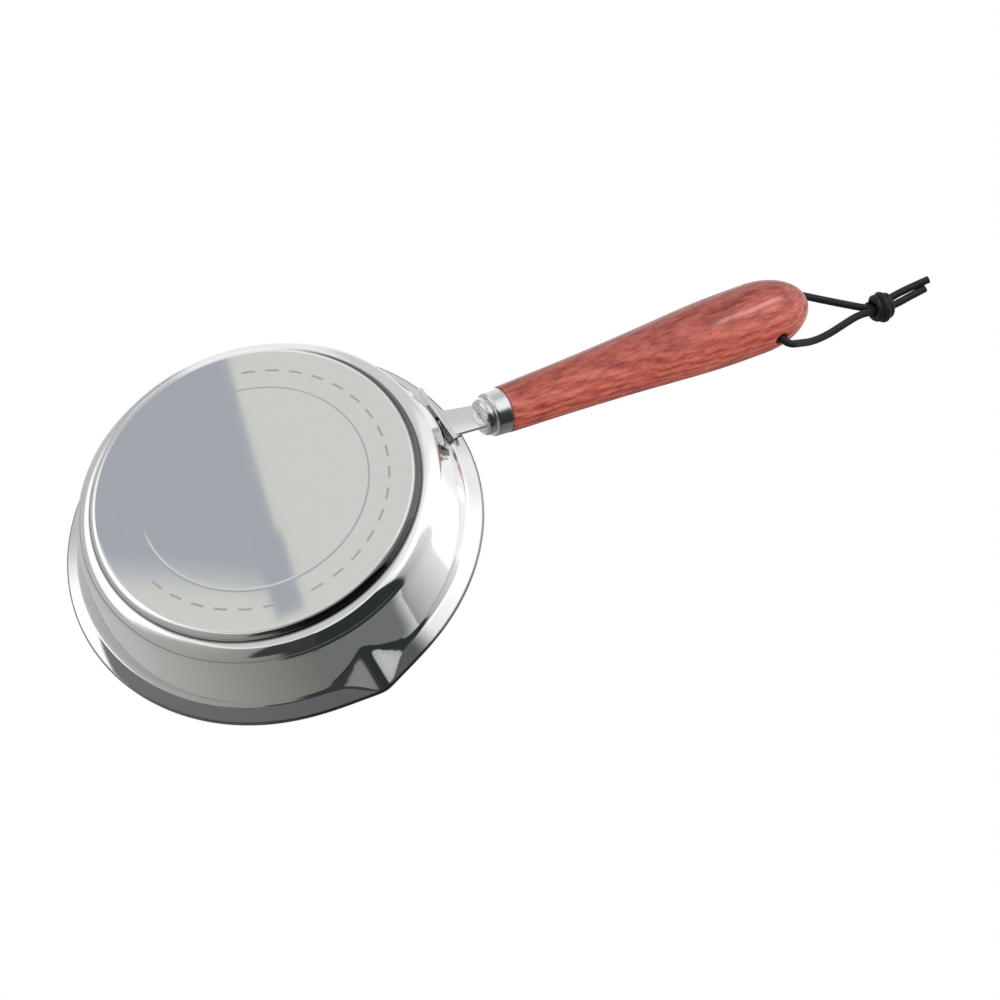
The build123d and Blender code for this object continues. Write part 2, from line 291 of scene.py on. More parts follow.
def wall_radius(z, phi, inset):
    """Radius of the wall: the larger, softly joined, of a cone and of the spout's two flank planes.

    The cone swells a little towards the strip's plate: a bell curve in angle times a squared sine in height.
    """
    cone = FLOOR_RADIUS + WALL_SLOPE * (z - BASE_THICKNESS) - inset / math.cos(WALL_TILT)
    near = np.clip(phi, -WEDGE_LIMIT, WEDGE_LIMIT)
    apex = RIDGE_RADIUS + RIDGE_SLOPE * (z - RIDGE_HEIGHT) - inset * RIDGE_SHIFT
    across = np.sqrt(np.sin(near) ** 2 + RIDGE_ROUNDING ** 2) - RIDGE_ROUNDING
    wedge = apex / (np.cos(near) + FLANK_SLOPE * across)
    swell = PLATE_SWELL * np.exp(-((phi - SPOUT_AZIMUTH) / PLATE_SWELL_TURN) ** 2)
    height = np.clip((z - FLOOR_CORNER) / (NECK_HEIGHT - FLOOR_CORNER), 0, 1)
    blend = SPOUT_BLEND * np.clip(np.abs(near) / SPOUT_BLEND_TURN, 0.4, 1)
    return soft_max(cone + swell * np.sin(height * math.pi) ** 2, wedge, blend)


def skin(phi, inset):
    """One side of the sheet as (radius, height) rows from the middle of the floor to the lip, for each angle."""
    ones = np.ones_like(phi)
    floor_z = BASE_THICKNESS + inset
    corner = FLOOR_CORNER - inset
    cone_foot = FLOOR_RADIUS + WALL_SLOPE * inset - inset / math.cos(WALL_TILT)
    arc_radius = cone_foot - corner * math.tan((math.pi / 2 - WALL_TILT) / 2)
    arc_height = floor_z + corner
    floor = run((0 * ones, floor_z * ones), (arc_radius * ones, floor_z * ones), 26)
    angle = np.linspace(-math.pi / 2, -WALL_TILT, 22)[:, None, None]
    arc = np.concatenate([arc_radius + corner * np.cos(angle) * ones, arc_height + corner * np.sin(angle) * ones], 1)
    edge = np.stack([lip_edge_radius(phi), (LIP_UNDER + inset / math.cos(FLANGE_SLOPE)) * ones])
    low = arc_height * ones
    high = edge[1]
    for _ in range(40):
        middle = (low + high) / 2
        flange = edge[0] - (edge[1] - middle) / math.tan(FLANGE_SLOPE)
        below = wall_radius(middle, phi, inset) > flange
        low = np.where(below, middle, low)
        high = np.where(below, high, middle)
    neck = np.stack([wall_radius(low, phi, inset), low])
    reach = np.linalg.norm(edge - neck, axis=0)
    bend_size = (NECK_BEND + inset) * math.tan((math.pi / 2 - FLANGE_SLOPE - WALL_TILT) / 2)
    after = np.minimum(bend_size, 0.4 * reach)
    before_z = neck[1] - np.minimum(bend_size, 0.2 * bend_size + reach * 0.4) * math.cos(WALL_TILT)
    wall_z = run(arc_height + corner * math.sin(-WALL_TILT) * ones, before_z, 46)
    wall = np.stack([wall_radius(wall_z, phi, inset), wall_z], axis=1)
    out = (edge - neck) / reach
    neck_curve = bend(wall[-1], neck, neck + out * after, 12)
    flange_run = run(neck + out * after, edge - out * LIP_EDGE, 10)
    return np.concatenate([floor, arc[1:], wall[1:], neck_curve[1:], flange_run[1:]]), edge, out


def pan_shell(material):
    """Closed turn of the sheet's section: outer skin out to the lip, over its edge, inner skin back."""
    near = np.radians(np.arange(-24, 24, 0.3))
    far = np.radians(np.arange(24, 336, 1.5))
    phi = np.concatenate([near, far])
    phi = (phi + math.pi) % (2 * math.pi) - math.pi
    outer, outer_edge, outer_way = skin(phi, 0)
    inner, inner_edge, inner_way = skin(phi, SHEET)
    up = np.stack([0 * phi, np.ones_like(phi)]) * LIP_EDGE
    under = bend(outer_edge - outer_way * LIP_EDGE, outer_edge, outer_edge + up, 8)
    over = bend(inner_edge - up, inner_edge, inner_edge - inner_way * LIP_EDGE, 8)
    profile = np.concatenate([outer, under[1:], over, inner[::-1][1:]])
    azimuth = SPOUT_AZIMUTH - phi
    points = np.stack([profile[:, 0] * np.cos(azimuth), profile[:, 0] * np.sin(azimuth), profile[:, 1]], axis=-1)
    return surface("pan_shell_body", points, material, "pan", ["pan_shell"])


def base_cap(material):
    """Turned cap: flat underside with one pressed ring groove, a rounded edge and a rim under the body."""
    outline = [
        (0, 0), (0, GROOVE_RADIUS - GROOVE_HALF_WIDTH), (GROOVE_DEPTH, GROOVE_RADIUS),
        (0, GROOVE_RADIUS + GROOVE_HALF_WIDTH),
        (0, CAP_RADIUS), (BASE_THICKNESS, CAP_RADIUS), (BASE_THICKNESS, CAP_RADIUS - CAP_SHEET),
        (CAP_SHEET, CAP_RADIUS - CAP_SHEET), (CAP_SHEET, 0),
    ]
    radii = [0.0006, 0.0005, 0.0006, CAP_EDGE, 0.0001, 0.0001, CAP_EDGE - CAP_SHEET]
    profile = rounded(outline, radii, 10)
    points = lathe(profile, (0, 0, 0), (0, 0, 1), 256)
    return surface("base_cap_skin", points, material, "pan", ["base_cap"])


def strip_line():
    """Middle line of the bent strip in the grip's plane, with the distance along it."""
    plate_x = NECK_RADIUS + PLATE_GAP + STRIP_THICKNESS / 2
    bend_point = np.array(GRIP_FRONT - BEND_SETBACK * GRIP_ALONG)[[0, 2]]
    to_bend = bend_point - (LIP_RADIUS, LIP_UNDER)
    slope = math.atan2(to_bend[1], to_bend[0])
    slope += math.asin((STRIP_LIP_GAP + STRIP_THICKNESS / 2) / np.linalg.norm(to_bend))
    fold = (plate_x, bend_point[1] - (bend_point[0] - plate_x) * math.tan(slope))
    end = np.array(GRIP_FRONT + TANG_DEPTH * GRIP_ALONG)[[0, 2]]
    line = rounded([(plate_x, PLATE_FOOT), fold, bend_point, end], [FOLD_RADIUS, BEND_RADIUS], 14)
    return line, fold[1]


def strip_half_width(line, fold_z):
    """Half width along the strip: a wide plate with rounded corners, shoulders, then a slow taper."""
    plate_top = fold_z - FOLD_RADIUS
    corner = PLATE_CORNER
    on_plate = line[:, 1] < plate_top
    from_foot = np.clip(line[:, 1] - PLATE_FOOT, 0, corner)
    to_top = np.clip(plate_top - line[:, 1], 0, corner)
    at_foot = np.sqrt(corner ** 2 - (corner - from_foot) ** 2)
    at_top = np.sqrt(corner ** 2 - (corner - to_top) ** 2)
    cut = 2 * corner - at_foot - at_top
    ferrule_x = GRIP_FRONT.x - (FERRULE_BARREL + FERRULE_GROOVE + FERRULE_BOSS) * GRIP_ALONG.x
    taper = np.interp(line[:, 0], [NECK_RADIUS, ferrule_x], [STRIP_HALF_AT_PLATE, STRIP_HALF_AT_FERRULE])
    taper = np.where(line[:, 0] > GRIP_FRONT.x - STRIP_THICKNESS, TANG_HALF_WIDTH, taper)
    return np.where(on_plate, np.maximum(PLATE_HALF_WIDTH - cut, STRIP_HALF_AT_PLATE), taper)


def strip_surface(name, material, margin, nodes=()):
    """Rounded rectangle carried along the bent line, its width a function of the distance, grown by the margin."""
    line, fold_z = strip_line()
    plate_top = fold_z - FOLD_RADIUS
    plate_z = np.concatenate([
        PLATE_FOOT + PLATE_CORNER * (1 - np.cos(np.linspace(0, math.pi / 2, 12))),
        plate_top - PLATE_CORNER * (1 - np.sin(np.linspace(0, math.pi / 2, 12))),
    ])
    plate = np.stack([np.full_like(plate_z, line[0, 0]), plate_z], axis=1)
    neck = [[line[0, 0], plate_top + 0.00001]]
    line = np.concatenate([plate, neck, line[line[:, 1] > plate_top + 0.00005]])
    half = strip_half_width(line, fold_z) + margin
    way = np.gradient(line, axis=0)
    way /= np.linalg.norm(way, axis=1, keepdims=True)
    normal = np.stack([way[:, 1], -way[:, 0]], axis=1)
    thick = STRIP_THICKNESS / 2 + margin
    angle = np.linspace(0, math.pi / 2, 5)
    quarter = np.stack([np.cos(angle), np.sin(angle)], axis=1) * STRIP_EDGE
    offsets = [(1, 1, quarter), (-1, 1, quarter[::-1]), (-1, -1, quarter), (1, -1, quarter[::-1])]
    rows = []
    for across, out, curve in offsets:
        y = across * (half[:, None] - STRIP_EDGE + curve[None, :, 0])
        n = out * (thick - STRIP_EDGE + curve[None, :, 1]) * np.ones_like(half)[:, None]
        x = line[:, None, 0] + normal[:, None, 0] * n
        z = line[:, None, 1] + normal[:, None, 1] * n
        rows.append(np.stack([x, y, z], axis=-1))
    ring = np.concatenate(rows, axis=1)
    start = ring[:1].mean(axis=1, keepdims=True) + np.zeros_like(ring[:1])
    end = ring[-1:].mean(axis=1, keepdims=True) + np.zeros_like(ring[-1:])
    points = np.concatenate([start, ring, end])
    return surface(name, points, material, "pan", nodes)


def handle_strip(material):
    """Strip with its plate, fold and tang."""
    return strip_surface("handle_strip_metal", material, 0, ["handle_bracket"])


def cut_away(piece, cutter):
    """Takes the cutter's volume out of the piece for good and removes the cutter."""
    cut = piece.modifiers.new("cut", "BOOLEAN")
    cut.operation = "DIFFERENCE"
    cut.solver = "EXACT"
    cut.object = cutter
    bpy.context.view_layer.update()
    seen = bpy.context.evaluated_depsgraph_get()
    result = bpy.data.meshes.new_from_object(piece.evaluated_get(seen))
    piece.modifiers.clear()
    piece.data = result
    bpy.data.objects.remove(cutter)
    return piece


def ferrule(material):
    """Turned collar: barrel with a rounded shoulder, a narrow groove and a domed boss."""
    groove = -FERRULE_BARREL
    boss = groove - FERRULE_GROOVE
    front = boss - FERRULE_BOSS
    outline = [
        (0, 0), (0, FERRULE_RIM), (-0.0003, FERRULE_RIM), (-0.0003, FERRULE_RADIUS), (groove, FERRULE_RIM),
        (groove - 0.0001, FERRULE_NECK), (boss, FERRULE_NECK), (boss - 0.0001, BOSS_RADIUS), (front, BOSS_FRONT),
        (front, 0),
    ]
    profile = rounded(outline, [0.00005, 0.00005, 0.0001, 0.0010, 0.0001, 0.0001, 0.0002, 0.0019], 8)
    points = lathe(profile, GRIP_FRONT, GRIP_ALONG, 160)
    collar = surface("ferrule_collar", points, material, "pan", ["ferrule"])
    return cut_away(collar, strip_surface("slot_cutter", material, SLOT_MARGIN))


def grip_radius(s):
    """Radius along the grip: a swelling side and a quarter ellipse round the end."""
    shares = np.array([0.0, 0.22, 0.44, 0.66, (GRIP_LENGTH - GRIP_END) / GRIP_LENGTH])
    radii = np.array([0.639, 0.723, 0.84, 0.978, 1.0]) * GRIP_RADIUS
    slopes = np.array([0.045, 0.0462, 0.0655, 0.045, 0.0])
    stations = shares * GRIP_LENGTH
    s = np.asarray(s)
    k = np.clip(np.searchsorted(stations, s, side="right") - 1, 0, len(stations) - 2)
    length = stations[k + 1] - stations[k]
    t = (s - stations[k]) / length
    side = ((2 * t ** 3 - 3 * t ** 2 + 1) * radii[k] + (t ** 3 - 2 * t ** 2 + t) * length * slopes[k]
            + (3 * t ** 2 - 2 * t ** 3) * radii[k + 1] + (t ** 3 - t ** 2) * length * slopes[k + 1])
    past = np.clip((s - (GRIP_LENGTH - GRIP_END)) / GRIP_END, 0, 1)
    return np.where(s > GRIP_LENGTH - GRIP_END, GRIP_RADIUS * np.sqrt(1 - past ** 2), side)


def wooden_grip(material):
    """Turned grip about its own axis, with the cord's cross hole cut through it."""
    side = np.linspace(GRIP_FRONT_EDGE, GRIP_LENGTH - GRIP_END, 90)
    end_angle = np.linspace(0, math.pi / 2, 40)[1:]
    end = GRIP_LENGTH - GRIP_END + GRIP_END * np.sin(end_angle)
    s = np.concatenate([side, end])
    rim = (0, GRIP_FRONT_RADIUS - GRIP_FRONT_EDGE)
    front = run((0, 0), rim, 8)
    edge = bend(rim, (0, GRIP_FRONT_RADIUS), (GRIP_FRONT_EDGE, grip_radius(GRIP_FRONT_EDGE)), 8)
    body = np.stack([s, grip_radius(s)], axis=1)
    body[-1, 1] = 0
    profile = np.concatenate([front, edge[1:], body[1:]])
    points = lathe(profile, GRIP_FRONT, GRIP_ALONG, 160)
    grip = surface("turned_grip", points, material, "pan", ["wooden_grip"])
    mouth_y = float(grip_radius(np.array(HOLE_DISTANCE)))
    flare = (mouth_y + 0.002, HOLE_RADIUS + HOLE_FLARE)
    half = rounded([(0, HOLE_RADIUS), (mouth_y - 0.0003, HOLE_RADIUS), flare], [0.0012], 10)
    tool = np.concatenate([half[::-1] * (-1, 1), half[1:]])
    tool = np.concatenate([[[tool[0, 0], 0]], tool, [[tool[-1, 0], 0]]])
    cutter = surface("hole_cutter", lathe(tool, HOLE_CENTRE, (0, 1, 0), 64), material, "pan")
    return cut_away(grip, cutter)


def cord_curve(name, route, material):
    """Smooth cord whose control points are the route's, round in section."""
    data = bpy.data.curves.new(name, "CURVE")
    data.dimensions = "3D"
    data.bevel_depth = CORD_DIAMETER / 2
    data.bevel_resolution = 6
    data.use_fill_caps = True
    spline = data.splines.new("NURBS")
    spline.points.add(len(route) - 1)
    for point, place in zip(spline.points, route):
        point.co = (*(HOLE_CENTRE + MM * Vector(place)), 1)
    spline.order_u = 3
    spline.use_endpoint_u = True
    spline.resolution_u = 12
    data.materials.append(material)
    cord = bpy.data.objects.new(name, data)
    bpy.context.scene.collection.objects.link(cord)
    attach(cord, "lanyard")
    return cord


def tube(name, path, radius, material, sides=16):
    """Round tube along a line of points: each ring stands square to the line, ends closed by a point."""
    way = np.gradient(path, axis=0)
    way /= np.linalg.norm(way, axis=1, keepdims=True)
    helper = np.array([0.2, 0.9, 0.4])
    side = np.cross(way, helper)
    side /= np.linalg.norm(side, axis=1, keepdims=True)
    other = np.cross(way, side)
    angle = np.linspace(0, 2 * math.pi, sides, endpoint=False)
    ring = np.cos(angle)[None, :, None] * side[:, None] + np.sin(angle)[None, :, None] * other[:, None]
    points = path[:, None] + radius * ring
    start = np.repeat(path[:1, None], sides, axis=1)
    end = np.repeat(path[-1:, None], sides, axis=1)
    return surface(name, np.concatenate([start, points, end]), material, "lanyard")


def lanyard(material):
    """Two halves of one cord, from the hole's middle through the knot to a bare end, and the knot."""
    near = LOOP_ROUTE[:HOLE_MIDDLE + 1][::-1] + TAIL_ROUTES[1]
    far = LOOP_ROUTE[HOLE_MIDDLE:] + TAIL_ROUTES[0]
    near_cord = cord_curve("cord_near_half", near, material)
    far_cord = cord_curve("cord_far_half", far, material)
    knot = overhand_knot(material)
    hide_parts("lanyard_loop", "lanyard_tails")


def overhand_knot(material):
    """Knot of the doubled cord as one tube wound round the knot's own axes in KNOT_TURNS turns, widest in its middle.
    """
    centre = np.array(HOLE_CENTRE + MM * Vector(KNOT_CENTRE))
    along = np.array(KNOT_DIRECTION)
    along /= np.linalg.norm(along)
    side = np.cross(along, (0, 0, 1))
    side /= np.linalg.norm(side)
    up = np.cross(side, along)
    t = np.linspace(0, 1, 160)
    turn = 2 * math.pi * KNOT_TURNS * t
    a = KNOT_LENGTH * (t - 0.5)
    radius = KNOT_RADIUS - KNOT_SWELL * np.cos(2 * math.pi * t)
    path = centre + a[:, None] * along + radius[:, None] * (np.cos(turn)[:, None] * side + np.sin(turn)[:, None] * up)
    return_piece = tube("lanyard_overhand_knot", path, CORD_DIAMETER / 2, material)
    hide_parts("lanyard_knot")
    return return_piece


def feed(tree, slot, value):
    """Links a socket to an input slot, or sets the slot to a plain value."""
    if isinstance(value, bpy.types.NodeSocket):
        tree.links.new(value, slot)
    else:
        slot.default_value = value


def add_node(tree, kind, inputs=None, **settings):
    """New node with its settings, and with its named inputs linked or set."""
    node = tree.nodes.new(kind)
    for name, value in settings.items():
        setattr(node, name, value)
    for name, value in (inputs or {}).items():
        feed(tree, node.inputs[name], value)
    return node


def math_node(tree, operation, *values, use_clamp=False):
    """Math node whose inputs are sockets or plain numbers."""
    node = add_node(tree, "ShaderNodeMath", operation=operation, use_clamp=use_clamp)
    for slot, value in zip(node.inputs, values):
        feed(tree, slot, value)
    return node.outputs["Value"]


def ramp_between(tree, value, low, high):
    """Smooth step from 0 at low to 1 at high."""
    inputs = {"Value": value, "From Min": low, "From Max": high}
    return add_node(tree, "ShaderNodeMapRange", inputs, interpolation_type="SMOOTHSTEP").outputs["Result"]


def mix_colours(tree, factor, first, second):
    """From the first colour at factor 0 to the second at factor 1."""
    inputs = {"Factor": factor, "A": first, "B": second}
    return add_node(tree, "ShaderNodeMix", inputs, data_type="RGBA").outputs["Result"]


def partly_clear(tree, cover, surface_socket):
    """Clear where the cover is 0 and the given surface where it is 1."""
    blend = add_node(tree, "ShaderNodeMixShader", {"Fac": cover})
    feed(tree, blend.inputs[1], add_node(tree, "ShaderNodeBsdfTransparent").outputs["BSDF"])
    feed(tree, blend.inputs[2], surface_socket)
    return blend.outputs["Shader"]


def new_material(name):
    """Material with its node tree and its main shader."""
    material = bpy.data.materials.new(name)
    material.use_nodes = True
    return material, material.node_tree, material.node_tree.nodes["Principled BSDF"]


def place_of(tree):
    """Object coordinates, their three parts and the distance from the pan's axis."""
    coordinates = add_node(tree, "ShaderNodeTexCoord")
    apart = add_node(tree, "ShaderNodeSeparateXYZ", {"Vector": coordinates.outputs["Object"]}).outputs
    flat = add_node(tree, "ShaderNodeCombineXYZ", {"X": apart["X"], "Y": apart["Y"]})
    length = add_node(tree, "ShaderNodeVectorMath", operation="LENGTH")
    feed(tree, length.inputs[0], flat.outputs["Vector"])
    return coordinates, apart, length.outputs["Value"]


def roughen(tree, shader, factor, roughness):
    """Brings the shader's linked roughness towards a new value by a factor."""
    slot = shader.inputs["Roughness"]
    inputs = {"Factor": factor, "A": slot.links[0].from_socket, "B": roughness}
    feed(tree, slot, add_node(tree, "ShaderNodeMix", inputs).outputs["Result"])


def steel(name, colour, roughness, spread=0.015, line_scale=2500):
    """Polished stainless steel: bright metal with fine turned lines and faint smears in its roughness."""
    material, tree, shader = new_material(name)
    coordinates, apart, radius = place_of(tree)
    ring = add_node(tree, "ShaderNodeCombineXYZ", {"X": radius, "Z": apart["Z"]}).outputs["Vector"]
    lines = add_node(tree, "ShaderNodeTexNoise", {"Vector": ring, "Scale": line_scale, "Detail": 3})
    smear = add_node(tree, "ShaderNodeTexNoise", {"Vector": coordinates.outputs["Object"], "Scale": 55, "Detail": 5})
    both = math_node(tree, "MULTIPLY", lines.outputs["Fac"], smear.outputs["Fac"])
    vary = add_node(tree, "ShaderNodeMapRange", {
        "Value": both, "From Min": 0.12, "From Max": 0.42, "To Min": roughness - spread, "To Max": roughness + spread,
    })
    feed(tree, shader.inputs["Roughness"], vary.outputs["Result"])
    feed(tree, shader.inputs["Base Color"], (*colour, 1))
    feed(tree, shader.inputs["Metallic"], 1)
    return material


def pan_body_steel():
    """Steel with a painted shade in the seam over the cap, a painted shade line along the lip's edge and a satin
    inside floor.
    """
    material = steel("polished_pan_steel", PAN_COLOUR, 0.06)
    tree = material.node_tree
    shader = tree.nodes["Principled BSDF"]
    coordinates, apart, radius = place_of(tree)
    height = apart["Z"]
    facing = add_node(tree, "ShaderNodeSeparateXYZ", {"Vector": coordinates.outputs["Normal"]}).outputs["Z"]
    # Painted shade: the seam over the cap is darkened low on the wall near the cap's radius
    low_band = ramp_between(tree, height, *SEAM_SHADE_HEIGHTS)
    seam_shade = math_node(tree, "MULTIPLY", low_band, ramp_between(tree, radius, *SEAM_SHADE_RADII))
    stain_and_shade = mix_colours(tree, seam_shade, (*PAN_COLOUR, 1), (*SEAM_SHADE_COLOUR, 1))
    # Painted shade: the lip's edge is darkened where its surface does not face up
    not_up = ramp_between(tree, facing, 0.5, 0.2)
    painted_edge_shade = math_node(tree, "MULTIPLY", ramp_between(tree, height, *LIP_SHADE_HEIGHTS), not_up)
    feed(tree, shader.inputs["Base Color"], mix_colours(tree, painted_edge_shade, stain_and_shade, (*LIP_SHADE_COLOUR, 1)))
    facing_up = ramp_between(tree, facing, 0.5, 0.8)
    on_floor = math_node(tree, "MULTIPLY", facing_up, ramp_between(tree, height, *SATIN_HEIGHTS))
    roughen(tree, shader, on_floor, 0.3)
    return material


def dashed_cap_steel():
    """Cap steel with a plain ring of etched dashes: dull and brownish where angle and radius fall in a dash.

    The dashes are worn faint on one side, and the rounded edge has a painted shade, dark on the handle's side.
    """
    material = steel("base_cap_steel", CAP_COLOUR, 0.032, 0.008, 1500)
    tree = material.node_tree
    shader = tree.nodes["Principled BSDF"]
    _, apart, radius = place_of(tree)
    aside = math_node(tree, "ABSOLUTE", math_node(tree, "SUBTRACT", radius, DASH_RADIUS))
    angle = math_node(tree, "SUBTRACT", math_node(tree, "ARCTAN2", apart["Y"], apart["X"]), DASH_TURN)
    from_dash = math_node(tree, "PINGPONG", math_node(tree, "ABSOLUTE", angle), math.pi / DASH_COUNT)
    ahead = math_node(tree, "MULTIPLY", from_dash, DASH_RADIUS)
    in_width = ramp_between(tree, aside, DASH_WIDTH / 2 + DASH_SIDE_BLUR, DASH_WIDTH / 2 - DASH_SIDE_BLUR)
    in_length = ramp_between(tree, ahead, DASH_LENGTH / 2 + DASH_END_BLUR, DASH_LENGTH / 2 - DASH_END_BLUR)
    dash = math_node(tree, "MULTIPLY", in_width, in_length)
    from_worn = math_node(tree, "COSINE", math_node(tree, "ADD", angle, WORN_TURN))
    kept = ramp_between(tree, math_node(tree, "ADD", from_worn, 1), *WORN_LIMITS)
    kept = math_node(tree, "ADD", math_node(tree, "MULTIPLY", kept, 1 - WORN_SHARE), WORN_SHARE)
    dash = math_node(tree, "MULTIPLY", dash, kept)
    etched = mix_colours(tree, dash, (*CAP_COLOUR, 1), (*DASH_COLOUR, 1))
    # Painted shade: the cap's rounded edge is darkened towards the handle's side
    toward = math_node(tree, "COSINE", math_node(tree, "SUBTRACT", angle, CAP_SHADE_TURN))
    painted_edge_shade = ramp_between(tree, radius, *CAP_SHADE_RADII)
    painted_edge_shade = math_node(tree, "MULTIPLY", painted_edge_shade, ramp_between(tree, toward, 0.0, 0.45))
    feed(tree, shader.inputs["Base Color"], mix_colours(tree, painted_edge_shade, etched, (*CAP_SHADE_COLOUR, 1)))
    roughen(tree, shader, dash, 0.35)
    return material


def stretched_noise(tree, place, scale, detail, across, shift):
    """Noise drawn out along the grip: it is finer across the grip by a factor."""
    slide = add_node(tree, "ShaderNodeMapping", {"Vector": place, "Location": shift, "Scale": (1, across, across)})
    noise = add_node(tree, "ShaderNodeTexNoise", {
        "Vector": slide.outputs["Vector"], "Scale": scale, "Detail": detail, "Roughness": 0.62,
    })
    return noise.outputs["Fac"]


def wood():
    """Stained wood under lacquer: slanting growth rings, fine fibres along the grip and short dark pores."""
    material, tree, shader = new_material("lacquered_wood")
    place = add_node(tree, "ShaderNodeTexCoord").outputs["Object"]
    along = add_node(tree, "ShaderNodeMapping", {"Vector": place, "Rotation": (0, GRIP_SLOPE, 0)}).outputs["Vector"]
    heart = add_node(tree, "ShaderNodeMapping", {
        "Vector": along, "Location": (0, 0.012, -0.075), "Rotation": (0, 0.03, 0.05),
    })
    rings = add_node(tree, "ShaderNodeTexWave", {
        "Vector": heart.outputs["Vector"], "Scale": 150, "Distortion": 5, "Detail": 4, "Detail Scale": 0.6,
        "Detail Roughness": 0.6,
    }, wave_type="RINGS", rings_direction="X", wave_profile="SIN")
    fibres = stretched_noise(tree, along, 170, 9, 5.5, (0, 0, 0))
    streaks = stretched_noise(tree, along, 14, 4, 9, (0.3, 0.1, 0))
    pores = stretched_noise(tree, along, 300, 3, 9, (0, 0.4, 0.2))
    figure = math_node(tree, "MULTIPLY", rings.outputs["Fac"], 0.10)
    for pattern, weight in ((fibres, 0.62), (streaks, 0.33)):
        figure = math_node(tree, "ADD", figure, math_node(tree, "MULTIPLY", pattern, weight))
    colours = add_node(tree, "ShaderNodeValToRGB", {"Fac": figure})
    ramp = colours.color_ramp.elements
    ramp[0].position = 0.38
    ramp[0].color = (*WOOD_DARK, 1)
    ramp[1].position = 0.66
    ramp[1].color = (*WOOD_LIGHT, 1)
    ramp.new(0.51).color = (*WOOD_MIDDLE, 1)
    pore = math_node(tree, "MULTIPLY", ramp_between(tree, pores, 0.60, 0.68), 0.7)
    stain_and_shade = mix_colours(tree, pore, colours.outputs["Color"], (*PORE_COLOUR, 1))
    feed(tree, shader.inputs["Base Color"], stain_and_shade)
    relief = add_node(tree, "ShaderNodeBump", {"Strength": 0.12, "Distance": 0.0002, "Height": figure})
    feed(tree, shader.inputs["Normal"], relief.outputs["Normal"])
    feed(tree, shader.inputs["Roughness"], 0.45)
    feed(tree, shader.inputs["Specular IOR Level"], 0.25)
    feed(tree, shader.inputs["Coat Weight"], 0.4)
    feed(tree, shader.inputs["Coat Roughness"], 0.1)
    return material


def plain(name, colour, roughness):
    """One colour with one roughness."""
    material, tree, shader = new_material(name)
    feed(tree, shader.inputs["Base Color"], (*colour, 1))
    feed(tree, shader.inputs["Roughness"], roughness)
    return material


def braided_cord():
    """Black round cord: a fine weave darkens and lifts its surface, with little gloss."""
    material, tree, shader = new_material("black_cord")
    place = add_node(tree, "ShaderNodeTexCoord").outputs["Object"]
    weave = add_node(tree, "ShaderNodeTexVoronoi", {"Vector": place, "Scale": 2600}).outputs["Distance"]
    black = mix_colours(tree, weave, (0.004, 0.004, 0.004, 1), (0.011, 0.011, 0.012, 1))
    relief = add_node(tree, "ShaderNodeBump", {"Strength": 0.35, "Distance": 0.0002, "Height": weave})
    feed(tree, shader.inputs["Base Color"], black)
    feed(tree, shader.inputs["Normal"], relief.outputs["Normal"])
    feed(tree, shader.inputs["Roughness"], 0.55)
    feed(tree, shader.inputs["Specular IOR Level"], 0.25)
    return material


def dress_node(node, material):
    """Gives a CAD object a material in place of its own."""
    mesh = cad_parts[node].data
    mesh.materials.clear()
    mesh.materials.append(material)


def make_floor():
    """Pale floor just under the base, seen from above only, so that the view from below looks past it."""
    mesh = bpy.data.meshes.new("studio_floor")
    corners = [(x * FLOOR_HALF, y * FLOOR_HALF, FLOOR_HEIGHT) for x, y in ((-1, -1), (1, -1), (1, 1), (-1, 1))]
    mesh.from_pydata(corners, [], [(0, 1, 2, 3)])
    floor = bpy.data.objects.new("studio_floor", mesh)
    bpy.context.scene.collection.objects.link(floor)
    material, tree, shader = new_material("floor_paint")
    feed(tree, shader.inputs["Base Color"], (0.85, 0.85, 0.85, 1))
    feed(tree, shader.inputs["Roughness"], 0.9)
    seen = add_node(tree, "ShaderNodeLightPath").outputs["Is Camera Ray"]
    behind = add_node(tree, "ShaderNodeNewGeometry").outputs["Backfacing"]
    cover = math_node(tree, "SUBTRACT", seen, behind, use_clamp=True)
    feed(tree, tree.nodes["Material Output"].inputs["Surface"], partly_clear(tree, cover, shader.outputs["BSDF"]))
    mesh.materials.append(material)


def make_world():
    """White for what the camera and reflections see of it, and grey as a light."""
    world = bpy.data.worlds.new("studio")
    bpy.context.scene.world = world
    world.use_nodes = True
    tree = world.node_tree
    path = add_node(tree, "ShaderNodeLightPath").outputs
    seen = math_node(tree, "ADD", path["Is Camera Ray"], path["Is Glossy Ray"])
    seen = math_node(tree, "ADD", seen, path["Is Transmission Ray"])
    feed(tree, tree.nodes["Background"].inputs["Color"], mix_colours(tree, seen, (0.6, 0.6, 0.6, 1), (1, 1, 1, 1)))


def studio_card(name, reach, around, upward, fades, start, end=None, strength=1.0, lean=0.0, lift=0.0):
    """Part of a sphere about the pan, bounded by azimuth and elevation in degrees.

    Its azimuths grow by lean degrees for each degree above its lower side, and its elevations by lift degrees
    for each degree before its last azimuth.
    """
    u, v = np.meshgrid(np.linspace(*around, 60), np.linspace(*upward, 24))
    azimuth = np.radians(u + lean * (v - upward[0]))
    height = np.radians(v + lift * (around[1] - u))
    level = np.cos(height)
    points = reach * np.stack([level * np.cos(azimuth), level * np.sin(azimuth), np.sin(height)], -1)
    lit_card(name, points, u, v, around, upward, fades, start, end, strength)


def ring_card(name, height, around, outward, fades, start, end=None):
    """Flat part of a ring under the lip, bounded by azimuth in degrees and by radius in millimetres."""
    u, v = np.meshgrid(np.linspace(*around, 60), np.linspace(*outward, 8))
    angle = np.radians(u)
    points = np.stack([MM * v * np.cos(angle), MM * v * np.sin(angle), np.full_like(u, height)], -1)
    lit_card(name, points, u, v, around, outward, fades, start, end)


